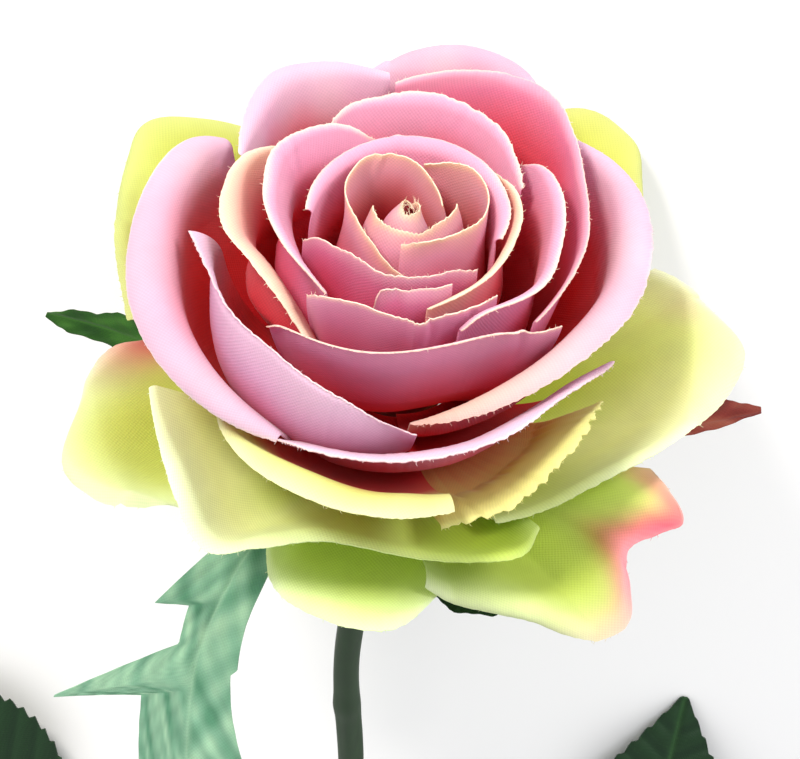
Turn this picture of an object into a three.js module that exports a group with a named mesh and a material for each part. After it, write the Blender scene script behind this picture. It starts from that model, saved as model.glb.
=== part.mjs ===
// Cut rose of woven polyester, lying on a surface. Millimetres, +Z up.
//
// The flower has thirty petals, each its own die-cut and heat-formed piece of cloth, glued by
// its foot round a foam bud core. A plastic cup below the core holds five cloth sepals, and a
// wire in a plastic sleeve is the stem. Two sprays of three cloth leaflets clip on the stem.
//
// The bloom is drawn upright in its own frame: its foot is at the origin and its axis is +Z.
// It is then laid down, so that its face looks along -Y and its lowest petals touch Z = 0.

import * as THREE from "three";

// ---------------------------------------------------------------- driving dimensions

const PETAL_THICKNESS = 0.5; // cloth, with its sizing
const SEPAL_THICKNESS = 0.5;
const LEAF_THICKNESS = 0.6;
const GAP = 0.3; // between pieces that touch

const BLOOM_RADIUS = 50; // crests of the large outer petals, from the axis
const BLOOM_HEIGHT = 50; // tip of the bud, above the foot of the bloom
const CORE_RADIUS = 12; // foam ball of the bud core
const CORE_TIP_COVER = 5; // from the tip of the foam to the tip of the bud
const CUP_BORE = 1.3; // for the stem wire
const CUP_LENGTH = 14; // below the foot of the bloom
const CUP_MOUTH = 7; // outer radius of the cup's rim
const CUP_LIP = 1; // wall at the rim
const CUP_HIP = 4.6; // outer radius of the swelling below the rim

const RECLINE = 12; // degrees that the bloom's axis rises above the surface
const STEM_RADIUS = 3; // plastic sleeve
const WIRE_RADIUS = 1;
const STEM_REACH = 226; // from the cup to the cut end, along the surface

const COLLAR_WALL = 1.1; // clip of a leaf spray on the stem
const COLLAR_LENGTH = 8;
const STALK_RADIUS = 1.1; // of a leaf spray

// Petals follow a nest of cups round the core. A cup is named by its spread: the angle from
// the bloom's axis at which it arrives at the reach below. Cups never cross each other.
const CUP_REACH = 1.1 * BLOOM_RADIUS;
// Spreads, and for each the angle from the axis at which its cup leaves the core. The cups of
// the middle spreads leave furthest round, so they are the fullest bowls.
const FOOT_ANGLES = [[-40, 6], [0, 40], [45, 98], [110, 132]];
const FOOT_FADE = 1.2; // the higher, the sooner a cup turns from its foot's angle to its spread
const CORE_SPREAD = -22; // of the cup that the foam's tip keeps to

// ---------------------------------------------------------------- small helpers

const rad = THREE.MathUtils.degToRad;

function material(name, color, roughness) {
  return new THREE.MeshStandardMaterial({ name, color, roughness, metalness: 0 });
}

function mesh(name, geometry, look) {
  const piece = new THREE.Mesh(geometry, look);
  piece.name = name;
  return piece;
}

function smoothCurve(points) {
  const list = points.map((p) => new THREE.Vector3(...p));
  return new THREE.CatmullRomCurve3(list, false, "catmullrom", 0.5);
}

// A closed sheet: a grid of points thickened by half its thickness to each side.
function sheet(grid, thickness) {
  const rows = grid.length;
  const columns = grid[0].length;
  const position = [];
  const up = new THREE.Vector3();
  const across = new THREE.Vector3();
  for (const side of [0.5, -0.5]) {
    for (let i = 0; i < rows; i++) {
      for (let j = 0; j < columns; j++) {
        const [i0, i1] = [Math.max(i - 1, 0), Math.min(i + 1, rows - 1)];
        const [j0, j1] = [Math.max(j - 1, 0), Math.min(j + 1, columns - 1)];
        up.subVectors(grid[i1][j], grid[i0][j]);
        across.subVectors(grid[i][j1], grid[i][j0]);
        const normal = across.cross(up).normalize();
        const point = grid[i][j].clone().addScaledVector(normal, side * thickness);
        position.push(point.x, point.y, point.z);
      }
    }
  }
  const faces = [];
  const back = rows * columns;
  const quad = (a, b, c, d) => faces.push(a, b, c, a, c, d);
  for (let i = 0; i < rows - 1; i++) {
    for (let j = 0; j < columns - 1; j++) {
      const a = i * columns + j;
      quad(a, a + 1, a + columns + 1, a + columns);
      quad(back + a, back + a + columns, back + a + columns + 1, back + a + 1);
    }
  }
  for (let i = 0; i < rows - 1; i++) {
    const left = i * columns;
    const right = left + columns - 1;
    quad(left, left + columns, back + left + columns, back + left);
    quad(right + columns, right, back + right, back + right + columns);
  }
  for (let j = 0; j < columns - 1; j++) {
    const foot = j;
    const rim = (rows - 1) * columns + j;
    quad(foot + 1, foot, back + foot, back + foot + 1);
    quad(rim, rim + 1, back + rim + 1, back + rim);
  }
  const geometry = new THREE.BufferGeometry();
  geometry.setAttribute("position", new THREE.Float32BufferAttribute(position, 3));
  geometry.setIndex(faces);
  return geometry;
}

// A rod or tube along a curve, closed at both ends.
function rod(curve, radius, bore, steps, sides) {
  const section = new THREE.Shape();
  section.absarc(0, 0, radius, 0, 2 * Math.PI);
  if (bore > 0) {
    const hole = new THREE.Path();
    hole.absarc(0, 0, bore, 0, 2 * Math.PI, true);
    section.holes.push(hole);
  }
  const options = { extrudePath: curve, steps, curveSegments: sides, bevelEnabled: false };
  return new THREE.ExtrudeGeometry(section, options);
}

// ---------------------------------------------------------------- the nest of cups

// How much of the foot's direction a cup still keeps at a distance from the core's middle.
function footShare(distance) {
  const u = THREE.MathUtils.clamp((distance - CORE_RADIUS) / (CUP_REACH - CORE_RADIUS), 0, 1);
  return (1 - u) ** FOOT_FADE;
}

// The value at x of a line through points [x, y], carried on straight past both its ends.
function along(points, x) {
  let i = 1;
  while (i < points.length - 1 && x > points[i][0]) i++;
  const [[x0, y0], [x1, y1]] = [points[i - 1], points[i]];
  return y0 + ((y1 - y0) * (x - x0)) / (x1 - x0);
}

// Angle from the bloom's axis of the cup of this spread, at a distance from the core's middle.
function cupAngle(spread, distance) {
  return THREE.MathUtils.lerp(spread, along(FOOT_ANGLES, spread), footShare(distance));
}

// The spread of the cup through a point, and the point's distance from the core's middle.
function cupThrough(radius, height) {
  const rise = height - CORE_RADIUS;
  const distance = Math.hypot(radius, rise);
  const angle = THREE.MathUtils.radToDeg(Math.atan2(radius, rise));
  const spreads = FOOT_ANGLES.map(([spread]) => [cupAngle(spread, distance), spread]);
  return { spread: along(spreads, angle), distance };
}

// Point of a cup as (radius, height).
function cupPoint(spread, distance) {
  const angle = rad(cupAngle(spread, distance));
  const radius = distance * Math.sin(angle);
  return new THREE.Vector2(radius, CORE_RADIUS + distance * Math.cos(angle));
}

function onAzimuth(azimuth, flat) {
  const a = rad(azimuth);
  return new THREE.Vector3(flat.x * Math.cos(a), flat.x * Math.sin(a), flat.y);
}

// ---------------------------------------------------------------- petals

// Each petal: the points that its rim passes, from left to right seen from outside, as
// [azimuth in degrees, radius, height]. Azimuth 270 is the front of the bloom and 90 its back.
// The points are for a bloom of radius and height DRAWN, and follow the bloom's own sizes.
// foot is how far off the core's ball it starts, and roll turns its rim outwards: the length
// of cloth past the crest at both ends and in the middle, and the angle.
const DRAWN = 50;
const PETALS = {
  bud_twist: {
    foot: 11,
    rim: [[20, 0.9, 47.3], [110, 1.1, 48.3], [200, 1.3, 48], [290, 1.6, 47.2], [380, 1.9, 47.4],
      [440, 2.3, 46]],
  },
  heart_front: {
    foot: 9,
    rim: [[165, 6, 46], [205, 5.8, 47], [245, 5.8, 47], [285, 5.6, 46.5], [330, 6.4, 47], [370, 9, 48]],
  },
  heart_left: {
    foot: 9,
    rim: [[28, 7, 46], [65, 8, 49], [95, 11, 50], [125, 13, 50], [150, 12, 49.5], [175, 11, 48.5],
      [205, 9.5, 47], [240, 10, 45.5], [272, 12, 42]],
  },
  heart_right: {
    foot: 8,
    rim: [[-92, 9, 46.5], [-60, 10, 48], [-30, 12, 48.5], [-5, 14, 49], [25, 15, 49.5], [50, 14, 50],
      [78, 11, 49]],
  },
  inner_back: {
    foot: 7, roll: { left: 2, middle: 3, right: 2, turn: 110 },
    rim: [[-14, 16.5, 44.6], [10, 16.8, 45.8], [40, 16.8, 46.8], [75, 16.3, 47.8], [110, 15.8, 47.8],
      [150, 15.8, 46.6], [185, 16.6, 45]],
  },
  inner_front: {
    foot: 7,
    rim: [[203, 19, 44], [212, 17, 46], [235, 15, 46.5], [258, 16.5, 46], [280, 17.2, 46],
      [302, 17, 46], [318, 18, 45]],
  },
  inner_right: {
    foot: 6, roll: { left: 1, middle: 2, right: 0, turn: 70 },
    rim: [[-76, 21.6, 42.2], [-52, 21, 44], [-25, 19.8, 45.2], [0, 19.6, 46.2], [22, 19.8, 46.8],
      [40, 20, 46.8]],
  },
  inner_tuck: {
    foot: 6,
    rim: [[258, 19.5, 40], [262, 19.5, 44.5], [278, 19.5, 45], [298, 19.5, 45.5]],
  },
  cup_back: {
    foot: 5, roll: { left: 1, middle: 2, right: 0, turn: 60 },
    rim: [[28, 22.6, 45], [42, 24.6, 46.2], [58, 27.6, 47.2], [80, 30.2, 47.6], [100, 29.4, 47.6],
      [115, 29.4, 46.8], [127, 27.6, 44.8]],
  },
  cup_left: {
    foot: 5, roll: { left: 0, middle: 2, right: 1, turn: 60 },
    rim: [[108, 23, 45], [125, 26, 46.6], [153, 26.3, 47.4], [175, 24.8, 46.8], [200, 23.5, 46.2],
      [220, 23, 44.3], [236, 22, 41]],
  },
  cup_right: {
    foot: 5, roll: { left: 2, middle: 2.5, right: 0, turn: 70 },
    rim: [[-65, 26, 40], [-55, 27, 43.3], [-32, 28.2, 44], [-8, 26.8, 45.2], [16, 27.3, 46],
      [36, 28.2, 45.6], [46, 28, 43.4]],
  },
  cup_front: {
    foot: 5,
    rim: [[228, 23.5, 40], [238, 25, 43.5], [255, 24, 44], [272, 25, 43.5], [280, 26, 43],
      [292, 25, 44], [306, 25, 44.5], [316, 24, 43.5]],
  },
  bowl_left: {
    foot: 3, roll: { left: 0, middle: 3, right: 1, turn: 70 },
    rim: [[136, 28.6, 43], [153, 31.8, 43.8], [175, 31.3, 44], [194, 30.6, 43], [208, 28, 41.2],
      [222, 26.5, 38], [238, 26.5, 33]],
  },
  bowl_front: {
    foot: 3, roll: { left: 1.5, middle: 1, right: 0, turn: 60 },
    rim: [[226, 31, 36], [236, 32, 39], [262, 32.5, 41], [286, 31, 42], [303, 31, 42.2],
      [316, 33.2, 41.2], [328, 34, 39]],
  },
  outer_folded: {
    foot: 1.5, roll: { left: 9, middle: 1, right: 0, turn: 75 },
    rim: [[190, 32, 37.5], [202, 33, 38.5], [220, 35.5, 38.5], [238, 36.5, 38], [256, 38.5, 36],
      [268, 39.7, 33], [278, 39.7, 30.3]],
  },
  outer_left: {
    foot: 1.5, roll: { left: 3, middle: 9, right: 2, turn: 115 },
    rim: [[147, 39, 40], [155, 40, 41], [168, 40.5, 40.5], [188, 41.5, 38], [205, 43, 34.5],
      [222, 43.5, 31], [234, 43, 28], [245, 42, 25.5]],
  },
  outer_right: {
    foot: 1.5, roll: { left: 1, middle: 7, right: 2, turn: 110 },
    rim: [[-83, 34, 27.5], [-71, 36, 31.3], [-51, 37, 35.5], [-30, 37, 37.5], [-10, 38, 38.6],
      [8, 39.3, 39.2], [22, 41, 40], [35, 42.3, 40.3], [47, 43, 40]],
  },
  outer_back_right: {
    foot: 1.5, roll: { left: 1, middle: 2, right: 1, turn: 60 },
    rim: [[-41, 31.4, 41.3], [-26, 31.3, 42.8], [-9, 31.3, 43.8], [10, 31.8, 44.2], [27, 34, 44.3],
      [42, 38, 45.3], [52, 41, 47], [63, 42, 48.3], [80, 38.5, 48.5], [97, 35, 47]],
  },
  outer_back_left: {
    foot: 1.5, roll: { left: 2, middle: 4, right: 1, turn: 90 },
    rim: [[98, 39, 45.5], [112, 41, 46], [126, 42, 45], [140, 38, 43.3], [152, 34.5, 42]],
  },
  outer_back: {
    foot: 1.5, roll: { left: 1, middle: 5, right: 2, turn: 90 },
    rim: [[58, 45, 40.5], [68, 49.5, 43.3], [80, 49, 45], [92, 46.5, 44], [102, 45, 41.5]],
  },
  skirt_front: {
    foot: 1.5, roll: { left: 1, middle: 2, right: 1, turn: 50 },
    rim: [[246, 44, 27], [256, 46, 29], [272, 47, 30.5], [288, 46, 31.5], [306, 43, 32.5],
      [322, 42, 33], [336, 42, 31]],
  },
  skirt_left: {
    foot: 1.5, roll: { left: 0.5, middle: 8, right: 5, turn: 80 },
    rim: [[225, 41.5, 21.5], [239, 45, 24.3], [255, 47.5, 25], [269, 48, 24], [278, 47.3, 23],
      [285, 46, 21.5]],
  },
  skirt_right: {
    foot: 1.5, roll: { left: 1, middle: 3, right: 1, turn: 50 },
    rim: [[284, 45.5, 14], [293, 47.5, 17.5], [302, 47.5, 21], [310, 46.5, 24.5], [320, 45, 26.5],
      [328, 43.5, 27]],
  },
  guard_left: {
    foot: 1.5, roll: { left: 2, middle: 4, right: 1, turn: 60 },
    rim: [[206, 45.5, 18], [218, 47.5, 14.5], [229, 50, 10], [239, 52.5, 6.5], [248, 49, 9.2],
      [262, 45.5, 11.5], [286, 45, 7.5], [301, 47.5, 6.5], [309, 45, 7]],
  },
  guard_right: {
    foot: 1.5, roll: { left: 1, middle: 3, right: 2, turn: 50 },
    rim: [[-61, 42, 9], [-48, 43.5, 10], [-32, 46, 11.5], [-14, 53, 13], [-4, 59, 15], [5, 62, 19],
      [12, 55, 22.5], [19, 47, 24.5]],
  },
  guard_back_left: {
    foot: 1.5, roll: { left: 1, middle: 3, right: 4, turn: 70 },
    rim: [[120, 57, 23], [129, 63, 25], [138, 66, 26], [147, 61, 25], [160, 54, 22], [173, 48, 19],
      [182, 44.5, 16]],
  },
  guard_back_right: {
    foot: 1.5, roll: { left: 2, middle: 3, right: 1, turn: 60 },
    rim: [[34, 52, 17], [46, 62, 22], [54, 68, 25], [63, 67, 26], [74, 58, 23]],
  },
  guard_low_left: {
    foot: 1.5, roll: { left: 1, middle: 2, right: 0, turn: 50 },
    rim: [[174, 41, 9.5], [182, 49, 9], [190, 56, 4], [199, 60, -2], [207, 54, -5], [216, 43, -6]],
  },
  guard_low_front: {
    foot: 1.5, roll: { left: 1, middle: 4, right: 1, turn: 50 },
    rim: [[242, 40, -1], [250, 45, -4], [264, 46, -6.5], [276, 45.5, -8.5], [287, 41, -8.5]],
  },
  guard_low_right: {
    foot: 1.5, roll: { left: 3, middle: 3, right: 1, turn: 60 },
    rim: [[283, 40, -3], [292, 43, -7], [303, 49, -9], [311, 55.5, -9.5], [317, 59.5, -7],
      [322, 56, -3.5], [326, 52.5, 0], [330, 57, 3], [334, 60, 5], [340, 51, 7]],
  },
};

// Cloth past the crest at a place across the petal, 0 at its left end and 1 at its right.
function rollLength(roll, across) {
  if (!roll) return 0;
  const side = across < 0.5 ? roll.left : roll.right;
  const share = Math.sin(Math.PI * Math.min(across, 1 - across));
  return side + (roll.middle - side) * share;
}

// One rib of a petal, from its foot up its cup to the crest, and round the rolled rim.
function petalRib(petal, curve, across) {
  const crest = curve.getPoint(across);
  const radius = (crest.y * BLOOM_RADIUS) / DRAWN;
  const { spread, distance } = cupThrough(radius, (crest.z * BLOOM_HEIGHT) / DRAWN);
  const rib = [];
  const cupSteps = 4;
  const foot = CORE_RADIUS + petal.foot;
  for (let i = 0; i <= cupSteps; i++) {
    rib.push(cupPoint(spread, foot + ((distance - foot) * i) / cupSteps));
  }
  const length = rollLength(petal.roll, across);
  const rollSteps = petal.roll ? 2 : 0;
  const heading = new THREE.Vector2().subVectors(rib[cupSteps], cupPoint(spread, distance - GAP));
  let bearing = heading.angle();
  const turn = rad(petal.roll ? petal.roll.turn : 0) / Math.max(rollSteps, 1);
  for (let i = 0; i < rollSteps; i++) {
    bearing -= turn / 2;
    const step = new THREE.Vector2(Math.cos(bearing), Math.sin(bearing));
    rib.push(rib[rib.length - 1].clone().addScaledVector(step, Math.max(length, 0.3) / rollSteps));
    bearing -= turn / 2;
  }
  return rib.map((flat) => onAzimuth(crest.x, flat));
}

function petalGeometry(petal) {
  const curve = smoothCurve(petal.rim);
  const columns = Math.round(1.5 * (petal.rim.length - 1));
  const ribs = [];
  for (let j = 0; j <= columns; j++) ribs.push(petalRib(petal, curve, j / columns));
  return sheet(ribs, PETAL_THICKNESS);
}

// ---------------------------------------------------------------- core, cup and sepals

// The foam core: a ball that runs up into a tip inside the innermost cup.
function coreGeometry() {
  const profile = [];
  const ballEnd = rad(along(FOOT_ANGLES, CORE_SPREAD));
  const ballSteps = 10;
  for (let i = 0; i <= ballSteps; i++) {
    const angle = Math.PI + ((ballEnd - Math.PI) * i) / ballSteps;
    const height = CORE_RADIUS + CORE_RADIUS * Math.cos(angle);
    profile.push(new THREE.Vector2(CORE_RADIUS * Math.sin(angle), height));
  }
  const top = BLOOM_HEIGHT - CORE_TIP_COVER;
  const tipDistance = top - CORE_RADIUS;
  const tipSteps = 6;
  for (let i = 1; i < tipSteps; i++) {
    const distance = CORE_RADIUS + ((tipDistance - CORE_RADIUS) * i) / tipSteps;
    profile.push(cupPoint(CORE_SPREAD, distance));
  }
  profile.push(new THREE.Vector2(0, top));
  profile[0].x = 0;
  return turned(profile, 20);
}

function turned(profile, sides) {
  const geometry = new THREE.LatheGeometry(profile, sides);
  geometry.rotateX(Math.PI / 2);
  return geometry;
}

// The outside of the plastic cup, from its end up, as [radius, share of the cup's length].
const CUP_OUTSIDE = [[STEM_RADIUS, 1], [CUP_HIP - 0.9, 0.78], [CUP_HIP, 0.55], [CUP_HIP - 0.3, 0.32],
  [CUP_MOUTH - CUP_LIP, 0.12]];

// The plastic cup under the core: a bowl that the ball seats in, on a hip with a bore.
function cupGeometry() {
  const seat = CORE_RADIUS + GAP;
  const rimAngle = Math.asin((CUP_MOUTH - CUP_LIP) / seat);
  const profile = [new THREE.Vector2(CUP_BORE, -CUP_LENGTH)];
  for (const [radius, share] of CUP_OUTSIDE) {
    profile.push(new THREE.Vector2(radius, -share * CUP_LENGTH));
  }
  profile.push(new THREE.Vector2(CUP_MOUTH, CORE_RADIUS - seat * Math.cos(rimAngle)));
  const seatSteps = 4;
  for (let i = 0; i < seatSteps; i++) {
    const angle = rimAngle * (1 - i / seatSteps);
    const radius = Math.max(seat * Math.sin(angle), CUP_BORE);
    profile.push(new THREE.Vector2(radius, CORE_RADIUS - seat * Math.cos(angle)));
  }
  profile.push(new THREE.Vector2(CUP_BORE, CORE_RADIUS - seat));
  profile.push(profile[0].clone());
  return turned(profile, 20);
}

// Each sepal: the points of its midrib as [azimuth, radius, height], its half widths, and the
// azimuth that its width lies along.
const SEPALS = {
  sepal_left: {
    rib: [[168, 7.8, -1], [166, 16, -5], [160, 34, -8], [158, 54, -8], [162, 70, -5]],
    half: [2.5, 3.5, 5.5, 6, 1], aside: 80,
  },
  sepal_long: {
    rib: [[222, 7.8, -1], [225, 18, -6], [228, 36, -18], [229, 46, -33], [232, 51, -46], [236, 55, -62]],
    half: [2.5, 4, 8, 10.5, 9, 2], aside: 352,
  },
  sepal_front: {
    rib: [[290, 7.8, -1], [293, 14, -7], [298, 24, -14], [302, 32, -18], [306, 39, -20]],
    half: [2.5, 4, 8, 9, 4], aside: 20,
  },
  sepal_right: {
    rib: [[4, 7.8, -1], [5, 16, -5], [7, 34, -7], [9, 54, -6], [10, 71, -3]],
    half: [2.5, 3.5, 5.5, 5, 1], aside: 92,
  },
  sepal_back: {
    rib: [[86, 7.8, -1], [84, 14, -6], [83, 22, -15], [82, 28, -27], [80, 31, -42]],
    half: [2.5, 3.5, 7, 6, 1], aside: 174,
  },
};

function sepalGeometry({ rib, half, aside }) {
  const curve = smoothCurve(rib);
  const widths = smoothCurve(half.map((w) => [w, 0, 0]));
  const steps = 2 * (rib.length - 1);
  const out = new THREE.Vector3(Math.cos(rad(aside)), Math.sin(rad(aside)), 0);
  const grid = [];
  for (let side = -1; side <= 1; side += 0.5) {
    const line = [];
    for (let i = 0; i <= steps; i++) {
      const p = curve.getPoint(i / steps);
      const spine = onAzimuth(p.x, new THREE.Vector2(p.y, p.z));
      line.push(spine.addScaledVector(out, side * widths.getPoint(i / steps).x));
    }
    grid.push(line);
  }
  return sheet(grid, SEPAL_THICKNESS);
}

// ---------------------------------------------------------------- the bloom, laid down

const pink = material("petal_pink", 0xe79ab0, 0.85);
const green = material("petal_green", 0xc6cc66, 0.85);
const leafGreen = material("leaf_green", 0x2f4a2c, 0.8);
const sepalGreen = material("sepal_green", 0x7fae93, 0.85);
const plastic = material("stem_plastic", 0x2c4a2a, 0.5);
const foam = material("core_foam", 0xf2f0ea, 0.9);
const wire = material("wire_steel", 0x8c8f92, 0.35);
wire.metalness = 1;

const GREEN_PETALS = /^(guard|skirt_left|skirt_right)/;
const bloom = new THREE.Group();
bloom.add(mesh("bud_core", coreGeometry(), foam));
bloom.add(mesh("calyx_cup", cupGeometry(), plastic));
for (const [name, petal] of Object.entries(PETALS)) {
  bloom.add(mesh(`petal_${name}`, petalGeometry(petal), GREEN_PETALS.test(name) ? green : pink));
}
for (const [name, sepal] of Object.entries(SEPALS)) {
  bloom.add(mesh(name, sepalGeometry(sepal), sepalGreen));
}

// Face towards -Y: the bloom's own right, +X, comes to lie on the world's -X side.
bloom.rotation.set(rad(RECLINE - 90), 0, Math.PI, "ZXY");
bloom.updateMatrixWorld(true);
const drop = new THREE.Box3().setFromObject(bloom, true).min.z;
bloom.position.z = -drop;
bloom.updateMatrixWorld(true);

// ---------------------------------------------------------------- stem

// The stem leaves the cup along the bloom's axis and comes down to lie on the surface.
const cupEnd = bloom.localToWorld(new THREE.Vector3(0, 0, -CUP_LENGTH - GAP));
const wireTop = bloom.localToWorld(new THREE.Vector3(0, 0, -GAP));

// A place on the stem: its share of the reach, how far it wanders aside, and how much of the
// cup's height it still has.
const STEM_COURSE = [[0, 0, 1], [0.1, 1.5, 0.9], [0.24, 3.5, 0.73], [0.4, 0.5, 0.52], [0.58, 0, 0.3],
  [0.74, -3, 0.12], [0.87, -2, 0.025], [1, 2, 0]];

function stemPoint([share, aside, height]) {
  const drop = cupEnd.z - STEM_RADIUS;
  return [cupEnd.x + aside, cupEnd.y + share * STEM_REACH, STEM_RADIUS + height * drop];
}

const sleeveCurve = smoothCurve(STEM_COURSE.map(stemPoint));
const wireCurve = smoothCurve([wireTop.toArray(), ...STEM_COURSE.map(stemPoint)]);

// ---------------------------------------------------------------- leaf sprays

// A spray clips on the stem at a share of its reach. Its stalk starts beside the clip and runs
// through points given as [aside, along, height]: aside of the stem and along it from the clip,
// towards its cut end, and height above the surface. A leaflet leaves the stalk at a share of
// its length, and its tip is given in the same terms.
const SPRAYS = {
  left: {
    share: 0.66, side: 1,
    stalk: [[22, -10, 5.5], [42, -16, 4], [63, -21, 4]],
    leaflets: {
      end: { at: 1, tip: [103, -60, 0.6], half: 15 },
      outer: { at: 0.62, tip: [66, 26, 0.6], half: 13 },
      inner: { at: 0.58, tip: [38, -38, 0.6], half: 8 },
    },
  },
  right: {
    share: 0.7, side: -1,
    stalk: [[-20, -11, 5.5], [-40, -17, 4], [-59, -21, 4]],
    leaflets: {
      end: { at: 1, tip: [-66, -75, 0.6], half: 17 },
      outer: { at: 0.6, tip: [-62, 26, 0.6], half: 13 },
      inner: { at: 0.56, tip: [-32, -42, 0.6], half: 8 },
    },
  },
};
const LEAF_ARCH = 5; // rise of a leaflet between its base and its tip
const LEAF_TIP = 0.8; // half width at the tip
const LEAF_BELLY = 0.8; // below 1, a leaflet is widest nearer to its base
const LEAF_TAPER = 0.15; // narrowing of the tip's half
// Where a stalk leaves its clip and where it then bends, as [aside, along, down] from before.
const STALK_ROOT = [STEM_RADIUS + COLLAR_WALL + 2 * GAP, -1.5, -1];
const STALK_BEND = [4, -1.5, -1];

function sprayPoint(clip, [aside, along, height]) {
  return new THREE.Vector3(clip.x + aside, clip.y + along, height);
}

function stalkCurve(clip, { side, stalk }) {
  const towards = new THREE.Vector3(side, 1, 1);
  const root = new THREE.Vector3(...STALK_ROOT).multiply(towards).add(clip);
  const bend = new THREE.Vector3(...STALK_BEND).multiply(towards).add(root);
  const points = [root, bend, ...stalk.map((point) => sprayPoint(clip, point))];
  return smoothCurve(points.map((point) => point.toArray()));
}

function leafletGeometry(clip, stalk, { at, tip, half }) {
  const root = stalk.getPointAt(at);
  const to = sprayPoint(clip, tip);
  const run = new THREE.Vector3().subVectors(to, root).setZ(0).normalize();
  const from = root.clone().addScaledVector(run, STALK_RADIUS + 2 * GAP);
  const aside = new THREE.Vector3(-run.y, run.x, 0);
  const steps = 8;
  const grid = [];
  for (let side = -1; side <= 1; side += 0.5) {
    const line = [];
    for (let i = 0; i <= steps; i++) {
      const t = i / steps;
      const swell = i === steps ? 0 : Math.sin(Math.PI * t ** LEAF_BELLY);
      const width = LEAF_TIP + half * swell * (1 - LEAF_TAPER * t);
      const point = new THREE.Vector3().lerpVectors(from, to, t);
      point.addScaledVector(aside, side * width);
      point.z += LEAF_ARCH * Math.sin(Math.PI * t);
      line.push(point);
    }
    grid.push(line);
  }
  return sheet(grid, LEAF_THICKNESS);
}

const rose = new THREE.Group();
rose.add(bloom);
rose.add(mesh("stem_sleeve", rod(sleeveCurve, STEM_RADIUS, WIRE_RADIUS + GAP, 26, 6), plastic));
rose.add(mesh("stem_wire", rod(wireCurve, WIRE_RADIUS, 0, 28, 4), wire));

for (const [side, spray] of Object.entries(SPRAYS)) {
  const clip = sleeveCurve.getPointAt(spray.share);
  const reach = sleeveCurve.getTangentAt(spray.share).multiplyScalar(COLLAR_LENGTH / 2);
  const barrel = new THREE.LineCurve3(clip.clone().sub(reach), clip.clone().add(reach));
  const bore = STEM_RADIUS + GAP;
  rose.add(mesh(`leaf_clip_${side}`, rod(barrel, bore + COLLAR_WALL, bore, 1, 8), plastic));
  const stalk = stalkCurve(clip, spray);
  rose.add(mesh(`leaf_stalk_${side}`, rod(stalk, STALK_RADIUS, 0, 12, 4), plastic));
  for (const [place, leaflet] of Object.entries(spray.leaflets)) {
    rose.add(mesh(`leaflet_${side}_${place}`, leafletGeometry(clip, stalk, leaflet), leafGreen));
  }
}

// The origin is the middle of the box that holds the rose, on the surface that it lies on.
const bounds = new THREE.Box3().setFromObject(rose, true);
const middle = bounds.getCenter(new THREE.Vector3());
rose.position.set(-middle.x, -middle.y, -bounds.min.z);

export default rose;
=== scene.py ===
"""Cut rose of woven polyester, lying on a pale floor.

Each petal, sepal and leaflet is one die-cut piece of cloth. Petals are heat-formed into cups
round a foam core, and every cup lies inside the next one, so their feet nest like bowls.
The bloom is worked out upright in its own frame, in millimetres: its foot is at the origin
and its axis is +Z. bloom_to_world() then lays it down where the CAD's core is.
"""
import math
import random

import bpy
import numpy as np
from mathutils import Matrix, Vector


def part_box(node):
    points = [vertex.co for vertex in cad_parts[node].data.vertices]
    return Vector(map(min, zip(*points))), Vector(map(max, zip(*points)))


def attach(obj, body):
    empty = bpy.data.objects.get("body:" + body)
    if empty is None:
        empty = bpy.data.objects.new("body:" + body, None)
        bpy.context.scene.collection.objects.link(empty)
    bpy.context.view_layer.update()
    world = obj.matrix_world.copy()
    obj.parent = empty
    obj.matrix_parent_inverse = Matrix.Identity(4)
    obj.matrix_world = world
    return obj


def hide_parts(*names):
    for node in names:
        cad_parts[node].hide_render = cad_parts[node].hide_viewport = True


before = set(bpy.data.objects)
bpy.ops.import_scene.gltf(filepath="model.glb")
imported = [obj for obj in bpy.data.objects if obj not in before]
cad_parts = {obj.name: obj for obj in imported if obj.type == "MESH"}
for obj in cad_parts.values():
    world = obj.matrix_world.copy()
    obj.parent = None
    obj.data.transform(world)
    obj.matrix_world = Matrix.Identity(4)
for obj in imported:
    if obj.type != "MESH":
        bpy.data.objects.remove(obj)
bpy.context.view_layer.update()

MM = 0.001

# ---------------------------------------------------------------- sizes shared with the CAD

CORE_RADIUS = 12.0
CUP_REACH = 55.0
# Spreads of cups, and the angles from the axis at which they leave the core.
CUP_SPREADS = (-40, 0, 45, 110)
CUP_FOOT_ANGLES = (6, 40, 98, 132)
RECLINE = math.radians(12)
OUTER_FOOT = 1.5  # how far off the core's ball the outer petals start
PETAL_CLOTH_THICKNESS = 0.24
LEAF_CLOTH_THICKNESS = 0.5
LIFT = 0.0004  # of the middle of a cloth that touches the floor, in metres

# The bloom's foot and axes in the world, from the box of the foam core.
core_low, core_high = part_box("bud_core")
BLOOM_AXIS = Vector((0, -math.cos(RECLINE), math.sin(RECLINE)))
BLOOM_RIGHT = Vector((-1, 0, 0))
BLOOM_BACK = BLOOM_AXIS.cross(BLOOM_RIGHT)
core_middle = Vector((
    (core_low[0] + core_high[0]) / 2,
    core_high[1] - CORE_RADIUS * MM,
    core_low[2] + CORE_RADIUS * MM,
))
BLOOM_FOOT = core_middle - BLOOM_AXIS * CORE_RADIUS * MM


def bloom_to_world(points):
    """World places, in metres, of bloom points in millimetres."""
    turn = np.array([BLOOM_RIGHT, BLOOM_BACK, BLOOM_AXIS])
    return np.array(BLOOM_FOOT) + (np.asarray(points) * MM) @ turn


# ---------------------------------------------------------------- colours

def linear(colour):
    """Linear RGB of an sRGB hex colour."""
    channels = [int(colour[i:i + 2], 16) / 255 for i in (1, 3, 5)]
    return [c / 12.92 if c <= 0.04045 else ((c + 0.055) / 1.055) ** 2.4 for c in channels]


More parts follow.
